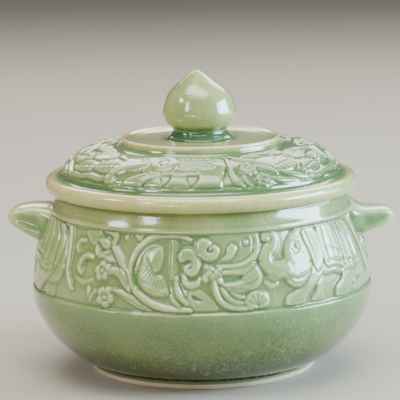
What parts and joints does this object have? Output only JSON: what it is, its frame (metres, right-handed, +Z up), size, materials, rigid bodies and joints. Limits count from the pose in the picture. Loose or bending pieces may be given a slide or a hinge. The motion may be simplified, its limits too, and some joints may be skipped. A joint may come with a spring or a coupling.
{
  "type": "covered bowl",
  "caption": "Round bellied stoneware bowl on a foot ring, with lug handles and a domed drop-on lid with a bud-shaped knob, in crackled green glaze over carved relief.",
  "frame": {"origin": "centre of the circle that the foot ring stands on", "axes": "+Z up along the axis of the bowl and its knob, X through the two lug handles, +Y to the back"},
  "size_m": [0.228, 0.2, 0.175],
  "materials": {
    "green_glaze": "clear green crackle glaze, glossy, darker where it pools in the carving",
    "lid_glaze": "clear green crackle glaze, glossy, pale where it thins over edges",
    "rim_glaze": "clear green glaze lying thin over buff clay, glossy",
    "handle_glaze": "clear green glaze, glossy",
    "collar_glaze": "clear green glaze over pale clay, glossy",
    "knob_glaze": "clear green crackle glaze, glossy",
    "bare_clay": "fired clay wiped clean of glaze, matt"
  },
  "bodies": {
    "bowl": {"bowl_body": "green_glaze", "foot_ring": "bare_clay", "left_handle": "handle_glaze", "right_handle": "handle_glaze"},
    "lid": {"lid_dome": "lid_glaze", "lid_rim": "rim_glaze", "lid_locating_ring": "bare_clay", "lid_collar": "collar_glaze", "lid_knob": "knob_glaze"}
  },
  "joints": [
    {"name": "lid_lift", "type": "slide", "parent": "bowl", "child": "lid", "axis": [0, 0, 1], "range_m": [0, 0.12]}
  ]
}
